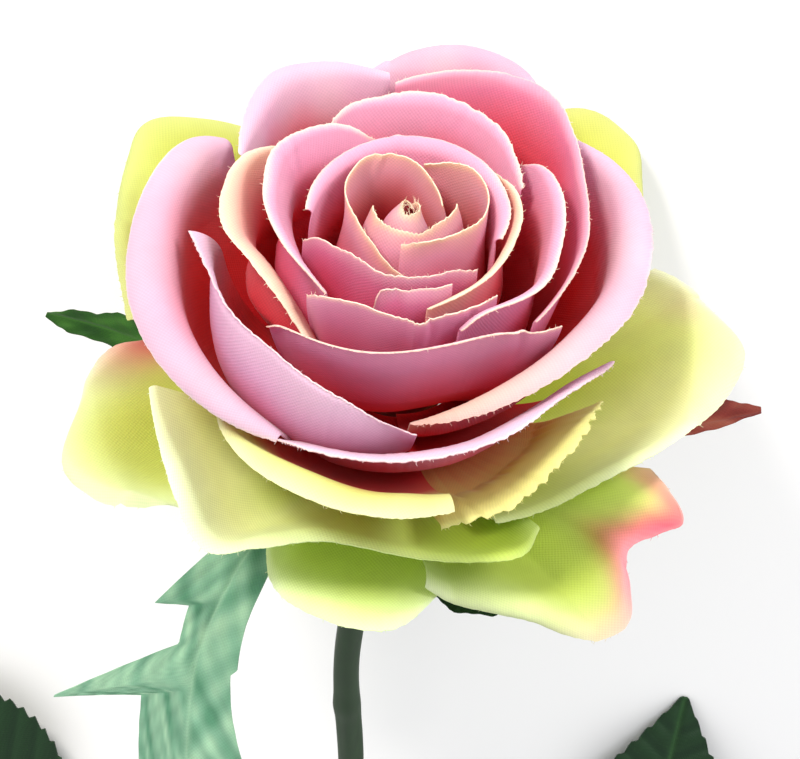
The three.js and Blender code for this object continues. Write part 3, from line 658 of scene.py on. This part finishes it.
def make_petal(name, petal):
    draw = random.Random(name)
    rim_turn = abs(petal["rim"][-1][0] - petal["rim"][0][0])
    rim_radius = sum(point[1] for point in petal["rim"]) / len(petal["rim"])
    width = math.radians(rim_turn) * rim_radius
    columns = int(np.clip(width / 0.5, 60, 190))  # about two a millimetre
    edge = cut_edge(columns, draw, petal.get("frayed", 0.18), petal.get("notches", (1, 0)))
    points, depth = petal_sheet(petal, PETAL_ROWS, columns, edge)
    across = np.linspace(0, 1, columns)[None, :] * np.ones((PETAL_ROWS, 1))
    along = np.linspace(0, 1, PETAL_ROWS)[:, None] * np.ones((1, columns))
    normals = sheet_normals(points)
    lift = ripple(across, along, draw, petal.get("wavy", 0.45))
    for place, length, half_width, deep in petal.get("creases", ()):
        apart = (across - place - 0.02 * np.sin(depth / 3)) * width / half_width
        lift -= deep * np.exp(-apart**2) * np.clip(1 - depth / length, 0, 1)
    lift += petal.get("belly", 0) * np.sin(math.pi * across) * arch(depth, BELLY_REACH)
    lift -= petal.get("flare", 0) * np.sin(math.pi * across) ** 0.3 * arch(depth, FLARE_REACH)
    points = points + normals * lift[..., None]
    flat = sheet_flat(points)
    outside = petal_dye_and_painted_light(petal, depth, across, draw)
    inside = petal_dye_and_painted_light(petal, depth, across, draw)
    # Painted shade: the inner face loses blue towards the foot and turns coral, for the shade inside the
    # cup.
    inside[..., 2] *= 1 - 0.3 * np.clip(depth / 10, 0, 1)
    piece = cloth_piece(f"cloth_{name}", bloom_to_world(points), flat, (outside, inside),
                        PETAL_CLOTH_THICKNESS, PETAL_CLOTH)
    rim = points[-1]
    outward = rim - points[-4]
    outward /= np.linalg.norm(outward, axis=-1, keepdims=True)
    count, longest = petal.get("threads", (width / 3 * petal.get("frayed", 0.18) / 0.2, 0.9))
    picks = sorted(draw.sample(range(columns), max(3, int(count))))
    threads = loose_threads(rim[picks], outward[picks], outside[-1][picks], draw, longest)
    add_threads(piece, threads, PETAL_CLOTH)
    declare_cloth(piece, f"petal_{name}")


for petal_name, petal_facts in PETALS.items():
    make_petal(petal_name, petal_facts)

# ---------------------------------------------------------------- sepals

# rib: the midrib from the cup to the tip, as (azimuth in degrees, radius, height). aside: the
# azimuth that the sepal's right side points to. right, left: half widths by the share of the
# way to the tip, with the teeth of the cut. sweep: how far they lean towards the tip, as a
# share of the half width.

SEPALS = {
    "sepal_long": dict(
        rib=[(222, 7.8, -1), (225, 18, -6), (228, 36, -18), (229, 46, -33), (232, 51, -46), (236, 55, -62)],
        aside=352, sweep=0.35,
        right=[(0, 2), (0.2, 4), (0.4, 6), (0.5, 6.5), (0.6, 8), (0.62, 7), (0.75, 8.5), (0.86, 11),
               (0.88, 8), (0.97, 6), (1, 0.5)],
        left=[(0, 2), (0.2, 4), (0.36, 6), (0.47, 11), (0.485, 5), (0.58, 4), (0.68, 25), (0.72, 9),
              (0.84, 9), (0.93, 9), (0.95, 4), (1, 0.5)],
        # Its pale blue-green is painted light: this sepal lies in the light.
        dye_and_painted_light=["#84B496", "#AFD6B4", "#5C9474"]),
    "sepal_left": dict(
        rib=[(168, 7.8, -1), (166, 16, -5), (160, 34, -8), (158, 54, -8), (162, 70, -5)],
        aside=80, sweep=0.3,
        right=[(0, 2), (0.3, 3.5), (0.6, 5.5), (0.8, 6), (0.86, 3.8), (0.93, 3.5), (1, 0.6)],
        left=[(0, 2), (0.3, 3.5), (0.6, 5), (0.74, 5.5), (0.78, 3.2), (0.92, 3), (1, 0.6)],
        dye_and_painted_light=["#2E5A22", "#467A30", "#244A1E"]),
    "sepal_front": dict(
        rib=[(290, 7.8, -1), (293, 14, -7), (298, 24, -14), (302, 32, -18), (306, 39, -20)],
        aside=20, sweep=0.3,
        right=[(0, 2), (0.3, 4), (0.6, 8), (0.64, 6), (0.85, 7), (0.9, 4), (1, 0.6)],
        left=[(0, 2), (0.3, 4), (0.7, 9), (0.74, 6), (0.9, 6), (1, 0.6)],
        # Its dark green is painted shade: this sepal lies in shadow.
        dye_and_painted_light=["#284A28", "#3E6436", "#1C381E"]),
    "sepal_right": dict(
        rib=[(4, 7.8, -1), (5, 16, -5), (7, 34, -7), (9, 54, -6), (10, 71, -3)],
        aside=92, sweep=0.2,
        right=[(0, 2), (0.4, 5.5), (0.78, 5.5), (0.88, 5.5), (0.92, 3.6), (1, 0.8)],
        left=[(0, 2), (0.4, 5.5), (0.7, 3.5), (0.9, 2.6), (0.93, 1.8), (1, 0.8)],
        dye_and_painted_light=["#8C3A34", "#A65C4C", "#70342C"]),
    "sepal_back": dict(
        rib=[(86, 7.8, -1), (84, 14, -6), (83, 22, -15), (82, 28, -27), (80, 31, -42)],
        aside=174, sweep=0.3,
        right=[(0, 2), (0.4, 5), (0.6, 7), (0.64, 4.5), (0.85, 5.5), (0.88, 3), (1, 0.6)],
        left=[(0, 2), (0.3, 4), (0.5, 7), (0.54, 4.5), (0.75, 6), (0.8, 3), (1, 0.6)],
        dye_and_painted_light=["#2E5A22", "#467A30", "#244A1E"]),
}


def sepal_points(sepal, rows, columns):
    """Bloom points of a sepal, shares along it, and places across it from -1 to 1."""
    along = np.linspace(0, 1, rows)
    course = smooth_course(sepal["rib"], along)
    azimuth = np.radians(course[:, 0])
    rib = np.stack([course[:, 1] * np.cos(azimuth), course[:, 1] * np.sin(azimuth), course[:, 2]], -1)
    forward = np.gradient(rib, axis=0)
    forward /= np.linalg.norm(forward, axis=-1, keepdims=True)
    aside = math.radians(sepal["aside"])
    straight = np.array([math.cos(aside), math.sin(aside), 0])
    across = np.linspace(-1, 1, columns)
    right = np.interp(along, *zip(*sepal["right"]))
    left = np.interp(along, *zip(*sepal["left"]))
    width = np.where(across[None, :] > 0, right[:, None], left[:, None]) * across[None, :]
    points = rib[:, None, :] + width[..., None] * straight
    # Teeth sweep towards the tip, and fade out before it.
    swept = sepal["sweep"] * np.abs(width) * (1 - along[:, None] ** 6)
    points = points + swept[..., None] * forward[:, None, :]
    # The midrib is a shallow channel, and side veins run out from it.
    normal = np.cross(forward, straight)
    normal /= np.linalg.norm(normal, axis=-1, keepdims=True)
    channel = -0.5 * np.exp(-((width / 0.8) ** 2)) + 0.02 * width**2 * np.clip(1 - along[:, None], 0, 1)
    veins = 0.12 * np.sin(90 * along[:, None] - np.abs(width) * 1.6) * np.clip(np.abs(width) / 2, 0, 1)
    points = points + (channel + veins)[..., None] * normal[:, None, :]
    return points, along[:, None] * np.ones((1, columns)), across[None, :] * np.ones((rows, 1))


def make_sepal(name, sepal):
    draw = random.Random(name)
    points, along, across = sepal_points(sepal, 180, 33)
    flat = sheet_flat(points)
    base, light, dark = (np.array(linear(colour)) for colour in sepal["dye_and_painted_light"])
    # Printed with broad watery patches of a lighter and a darker green.
    patch = sum(
        np.sin(k * flat[0] * 0.35 + draw.uniform(0, 6)) * np.sin(k * flat[1] * 0.22 + draw.uniform(0, 6))
        for k in (1, 2, 3)
    )
    lighter = np.clip(patch / 2, 0, 1)[..., None]
    darker = np.clip(-patch / 2, 0, 1)[..., None]
    vein = (0.5 * np.exp(-((across / 0.06) ** 2)))[..., None]
    dye_and_painted_light = base + (light - base) * np.maximum(lighter, vein) + (dark - base) * darker * (1 - vein)
    piece = cloth_piece(f"cloth_{name}", bloom_to_world(points), flat, (dye_and_painted_light, dye_and_painted_light), PETAL_CLOTH_THICKNESS,
                        SEPAL_CLOTH)
    declare_cloth(piece, name)


for sepal_name, sepal_facts in SEPALS.items():
    make_sepal(sepal_name, sepal_facts)

# ---------------------------------------------------------------- stem and calyx cup

STEM_RADIUS = 3.0
STEM_REACH = 226.0
WIRE_RADIUS = 1.0
GAP = 0.3
CUP_LENGTH = 14.0
# Places on the stem: share of its reach, how far aside, and share of the cup end's height.
STEM_COURSE = [(0, 0, 1), (0.1, 1.5, 0.9), (0.24, 3.5, 0.73), (0.4, 0.5, 0.52), (0.58, 0, 0.3),
               (0.74, -3, 0.12), (0.87, -2, 0.025), (1, 2, 0)]
cup_end = bloom_to_world([0, 0, -CUP_LENGTH - GAP]) / MM


def stem_point(share, aside, height):
    drop = cup_end[2] - STEM_RADIUS
    return (cup_end[0] + aside, cup_end[1] + share * STEM_REACH, STEM_RADIUS + height * drop)


def even_course(points, count):
    """Evenly spaced points along the smooth course through a list of points."""
    fine = smooth_course(points, np.linspace(0, 1, 2000))
    run = np.concatenate([[0], np.cumsum(np.linalg.norm(np.diff(fine, axis=0), axis=1))])
    places = np.linspace(0, run[-1], count)
    return np.stack([np.interp(places, run, fine[:, k]) for k in range(3)], -1)


def round_skin(name, rings, material, angle):
    """A skin through rings of points, in world millimetres, capped at both ends."""
    count, sides = rings.shape[:2]
    bpy.ops.object.select_all(action="DESELECT")
    bpy.ops.mesh.primitive_cylinder_add(vertices=sides, radius=1, depth=1, end_fill_type="NGON")
    piece = bpy.context.object
    piece.name = name
    mesh = piece.data
    faces = []
    for i in range(count - 1):
        for j in range(sides):
            k = (j + 1) % sides
            faces.append((i * sides + j, i * sides + k, (i + 1) * sides + k, (i + 1) * sides + j))
    faces.append(tuple(range(sides - 1, -1, -1)))
    faces.append(tuple((count - 1) * sides + j for j in range(sides)))
    mesh.clear_geometry()
    mesh.from_pydata((rings.reshape(-1, 3) * MM).tolist(), [], faces)
    mesh.materials.append(material)
    bpy.ops.object.mode_set(mode="EDIT")
    bpy.ops.mesh.select_all(action="SELECT")
    bpy.ops.mesh.normals_make_consistent(inside=False)
    bpy.ops.object.mode_set(mode="OBJECT")
    bpy.ops.object.shade_smooth_by_angle(angle=math.radians(angle))
    return piece


def rod_rings(course, radii, sides):
    """Rings round a course of points, without twist."""
    forward = np.gradient(course, axis=0)
    forward /= np.linalg.norm(forward, axis=1, keepdims=True)
    side = np.cross(forward, [0.0, 0.0, 1.0])
    side /= np.linalg.norm(side, axis=1, keepdims=True)
    up = np.cross(side, forward)
    angles = 2 * math.pi * np.arange(sides) / sides
    ring = np.cos(angles)[None, :, None] * side[:, None, :] + np.sin(angles)[None, :, None] * up[:, None, :]
    return course[:, None, :] + np.asarray(radii).reshape(len(course), -1, 1) * ring


def finish_hard(piece, stands_for):
    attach(piece, "root")
    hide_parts(stands_for)


stem_course = even_course([stem_point(*place) for place in STEM_COURSE], 260)


def make_stem():
    """The extruded sleeve: slightly uneven, with a low node swelling here and there."""
    draw = random.Random("stem")
    share = np.linspace(0, 1, len(stem_course))
    angles = 2 * math.pi * np.arange(32) / 32
    swelling = sum(0.35 * np.exp(-(((share - at) / 0.012) ** 2)) for at in (0.3, 0.52, 0.83))
    radii = STEM_RADIUS - 0.4 + swelling[:, None] * (0.6 + 0.4 * np.cos(angles - 1))[None, :]
    for _ in range(5):
        phase = draw.uniform(0, 6)
        lobes = draw.randint(2, 5)
        turns = draw.uniform(5, 40)
        radii = radii + 0.03 * np.sin(lobes * angles[None, :] + turns * share[:, None] + phase)
    outside = rod_rings(stem_course, radii, 32)
    # The cut end is hollowed back to the wire's end.
    bore = rod_rings(stem_course[-6:], np.full(6, WIRE_RADIUS + GAP), 32)[::-1]
    rings = np.concatenate([outside, bore])
    finish_hard(round_skin("sleeve", rings, STEM_PLASTIC, 40), "stem_sleeve")


def make_wire():
    course = even_course(stem_course[-9:], 12)
    rings = rod_rings(course, np.full(12, WIRE_RADIUS), 24)
    finish_hard(round_skin("wire_end", rings, WIRE_STEEL, 40), "stem_wire")


def make_cup():
    """The calyx cup: a waisted hip, ribbed where its five sepals are welded on."""
    profile = [(STEM_RADIUS, -14), (3.4, -12.6), (4.2, -10.2), (4.6, -7.7), (4.5, -5.6), (4.4, -4.4),
               (5.2, -2.6), (6.2, -1.2), (7.0, -0.3), (7.1, 0.6), (6.9, 1.3), (6.4, 1.5)]
    course = smooth_course(profile, np.linspace(0, 1, 60))
    angles = 2 * math.pi * np.arange(60) / 60
    ribs = 1 + 0.03 * np.cos(5 * angles)[None, :] * np.clip((course[:, 1] + 12) / 12, 0, 1)[:, None]
    radii = course[:, 0][:, None] * ribs
    rings = np.stack([
        radii * np.cos(angles), radii * np.sin(angles), np.repeat(course[:, 1][:, None], 60, axis=1),
    ], -1)
    piece = round_skin("calyx", bloom_to_world(rings) / MM, CUP_PLASTIC, 50)
    finish_hard(piece, "calyx_cup")


make_stem()
make_wire()
make_cup()

# ---------------------------------------------------------------- leaf sprays

COLLAR_WALL = 1.1
COLLAR_LENGTH = 8.0
STALK_RADIUS = 1.1
LEAF_ARCH = 5.0
# A spray clips on the stem at a share of its reach. Points are (aside, along, height) from the
# clip, and height is above the floor. A leaflet leaves the stalk at a share of its length.
SPRAYS = {
    "left": dict(
        share=0.66, side=1,
        stalk=[(22, -10, 5.5), (42, -16, 4), (63, -21, 4)],
        leaflets={"end": (1, (103, -60, 0.6), 15), "outer": (0.62, (66, 26, 0.6), 13),
                  "inner": (0.58, (38, -38, 0.6), 8)}),
    "right": dict(
        share=0.7, side=-1,
        stalk=[(-20, -11, 5.5), (-40, -17, 4), (-59, -21, 4)],
        leaflets={"end": (1, (-66, -75, 0.6), 17), "outer": (0.6, (-62, 26, 0.6), 13),
                  "inner": (0.56, (-32, -42, 0.6), 8)}),
}


def leaflet_points(root, tip, half, rows, columns, draw):
    """World millimetres of a leaflet: serrated, arched, with a sunk midrib and raised side veins."""
    run = np.array([tip[0] - root[0], tip[1] - root[1], 0.0])
    run /= np.linalg.norm(run)
    start = np.array(root) + run * (STALK_RADIUS + 2 * GAP)
    start[2] = root[2]
    aside = np.array([-run[1], run[0], 0.0])
    t = np.linspace(0, 1, rows)
    across = np.linspace(-1, 1, columns)
    width = 0.8 + half * np.sin(math.pi * t**0.8) * (1 - 0.15 * t)
    width[-1] = 0.4
    # Teeth: a slow rise and a quick fall back, pointing towards the tip.
    teeth = (t * 15) % 1
    bite = np.clip(teeth, 0, 0.85) / 0.85 - np.clip((teeth - 0.85) / 0.15, 0, 1)
    edge = 1.3 * (bite - 0.5) * np.sin(math.pi * t) * half / 15
    line = start[None, :] + (np.array(tip) - start)[None, :] * t[:, None]
    reach = (width[:, None] + edge[:, None] * np.abs(across[None, :]) ** 6) * across[None, :]
    points = line[:, None, :] + reach[..., None] * aside
    sweep = 0.25 * np.abs(reach) * (1 - t[:, None]) * np.sin(math.pi * t)[:, None]
    points = points + sweep[..., None] * run
    lift = LEAF_ARCH * np.sin(math.pi * t)[:, None] - 0.6 * np.exp(-((reach / 0.9) ** 2))
    ribs = np.sin(2 * math.pi * (9 * t[:, None] - np.abs(reach) / 9))
    lift = lift + 0.3 * np.clip(ribs, -0.2, 1) * np.clip(np.abs(reach) / 3, 0, 1)
    wave = 0.5 * np.sin(7 * t[:, None] + 2 * across[None, :] + draw.uniform(0, 6)) * np.abs(across[None, :])
    lift = lift + wave * np.sin(math.pi * t)[:, None]
    points[..., 2] = np.maximum(points[..., 2] + lift, 0.3)
    return points, np.abs(reach), ribs


def make_spray(name, spray):
    clip = even_course([stem_point(*place) for place in STEM_COURSE], 1001)
    index = round(spray["share"] * 1000)
    middle = clip[index]
    forward = clip[index + 1] - clip[index - 1]
    forward /= np.linalg.norm(forward)
    barrel = middle[None, :] + forward[None, :] * (np.linspace(-0.5, 0.5, 9) * COLLAR_LENGTH)[:, None]
    bore = STEM_RADIUS + GAP
    swell = bore + COLLAR_WALL * (1 - 0.35 * np.abs(np.linspace(-1, 1, 9)) ** 4)
    rings = np.concatenate([rod_rings(barrel, swell, 36), rod_rings(barrel, np.full(9, bore), 36)[::-1]])
    closed = np.concatenate([rings, rings[:1]])
    finish_hard(round_band(f"clip_{name}", closed), f"leaf_clip_{name}")
    side = spray["side"]
    start = STEM_RADIUS + COLLAR_WALL + 2 * GAP
    root = middle + np.array([side * start, -1.5, -1.0])
    bend = root + np.array([4 * side, -1.5, -1.0])
    far = [(middle[0] + x, middle[1] + y, z) for x, y, z in spray["stalk"]]
    stalk = even_course([root, bend, *far], 90)
    taper = np.linspace(STALK_RADIUS, 0.75 * STALK_RADIUS, 90)
    piece = round_skin(f"stalk_{name}", rod_rings(stalk, taper, 20), STEM_PLASTIC, 40)
    finish_hard(piece, f"leaf_stalk_{name}")
    for place, (share, tip, half) in spray["leaflets"].items():
        draw = random.Random(name + place)
        joint = stalk[round(share * 89)]
        end = (middle[0] + tip[0], middle[1] + tip[1], tip[2])
        points, out, ribs = leaflet_points(joint, end, half, 190, 61, draw)
        flat = sheet_flat(points)
        base, light, dark = (np.array(linear(colour)) for colour in ("#1F3A22", "#31542F", "#14281A"))
        vein = np.exp(-((out / 0.7) ** 2))[..., None]
        between = np.clip(-ribs, 0, 1)[..., None]
        dye_and_painted_light = base + (light - base) * 0.8 * vein + (dark - base) * 0.5 * between * (1 - vein)
        leaf = cloth_piece(f"leaf_{name}_{place}", points * MM, flat, (dye_and_painted_light, dye_and_painted_light), LEAF_CLOTH_THICKNESS,
                           LEAF_CLOTH)
        declare_cloth(leaf, f"leaflet_{name}_{place}")


def round_band(name, rings):
    """A closed ring with a hole through it, from rings that end where they began."""
    count, sides = rings.shape[:2]
    bpy.ops.object.select_all(action="DESELECT")
    bpy.ops.mesh.primitive_torus_add(major_segments=sides, minor_segments=count - 1)
    piece = bpy.context.object
    piece.name = name
    piece.data.vertices.foreach_set("co", (rings[:-1].transpose(1, 0, 2) * MM).reshape(-1))
    piece.data.materials.append(STEM_PLASTIC)
    bpy.ops.object.mode_set(mode="EDIT")
    bpy.ops.mesh.select_all(action="SELECT")
    bpy.ops.mesh.normals_make_consistent(inside=False)
    bpy.ops.object.mode_set(mode="OBJECT")
    bpy.ops.object.shade_smooth_by_angle(angle=math.radians(35))
    return piece


for spray_name, spray_facts in SPRAYS.items():
    make_spray(spray_name, spray_facts)

# ---------------------------------------------------------------- camera, light and floor

VIEW_ANGLE = math.radians(48)  # between the bloom's axis and the line to the camera
VIEW_ROLL = math.radians(5.5)  # the bloom leans this much to the right in the picture
VIEW_DISTANCE = 0.65
PICTURE_WIDTH = 0.148  # at the bloom's foot
AIM = (0.0022, 0.0049)  # of the camera, to the right of the bloom's foot and above it


def bloom_direction(x, y, z):
    return BLOOM_RIGHT * x + BLOOM_BACK * y + BLOOM_AXIS * z


def make_camera():
    to_camera = bloom_direction(0, -math.sin(VIEW_ANGLE), math.cos(VIEW_ANGLE))
    up_straight = bloom_direction(0, math.cos(VIEW_ANGLE), math.sin(VIEW_ANGLE))
    right = math.cos(VIEW_ROLL) * BLOOM_RIGHT + math.sin(VIEW_ROLL) * up_straight
    up = -math.sin(VIEW_ROLL) * BLOOM_RIGHT + math.cos(VIEW_ROLL) * up_straight
    target = BLOOM_FOOT + right * AIM[0] + up * AIM[1]
    lens = bpy.data.cameras.new("camera")
    lens.lens = lens.sensor_width * VIEW_DISTANCE / PICTURE_WIDTH
    lens.clip_start = 0.05
    camera = bpy.data.objects.new("camera", lens)
    bpy.context.collection.objects.link(camera)
    place = Matrix((right, up, to_camera)).transposed().to_4x4()
    place.translation = target + to_camera * VIEW_DISTANCE
    camera.matrix_world = place
    bpy.context.scene.camera = camera
    return right, up, to_camera


picture_right, picture_up, to_camera = make_camera()


def area_light(name, direction, distance, width, power, colour):
    light = bpy.data.lights.new(name, "AREA")
    light.shape = "DISK"
    light.size = width
    light.energy = power
    light.color = linear(colour)
    lamp = bpy.data.objects.new(name, light)
    bpy.context.collection.objects.link(lamp)
    place = BLOOM_FOOT + direction.normalized() * distance
    lamp.location = place
    lamp.rotation_euler = (place - BLOOM_FOOT).to_track_quat("Z", "Y").to_euler()


key_from = -0.35 * picture_right + 0.45 * picture_up + 0.8 * to_camera
area_light("key", key_from, 1.2, 0.3, 14, "#FFFAF4")
fill_from = 0.6 * picture_right + 0.35 * picture_up + 0.7 * to_camera
area_light("fill", fill_from, 1.3, 0.5, 11, "#F8F8FF")

bpy.context.scene.view_settings.view_transform = "Standard"

world = bpy.data.worlds.new("studio")
bpy.context.scene.world = world
world.use_nodes = True
world.node_tree.nodes["Background"].inputs["Color"].default_value = (1, 1, 1, 1)
world.node_tree.nodes["Background"].inputs["Strength"].default_value = 0.84

bpy.ops.object.select_all(action="DESELECT")
bpy.ops.mesh.primitive_plane_add(size=6, location=(0, 0, 0))
floor = bpy.context.object
floor.name = "floor"
floor.data.materials.append(matt_board("pale board, matt", "#F4F4F4"))

# ---------------------------------------------------------------- the CAD nodes that stay

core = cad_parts["bud_core"]
core.data.materials.clear()
core.data.materials.append(CORE_FOAM)
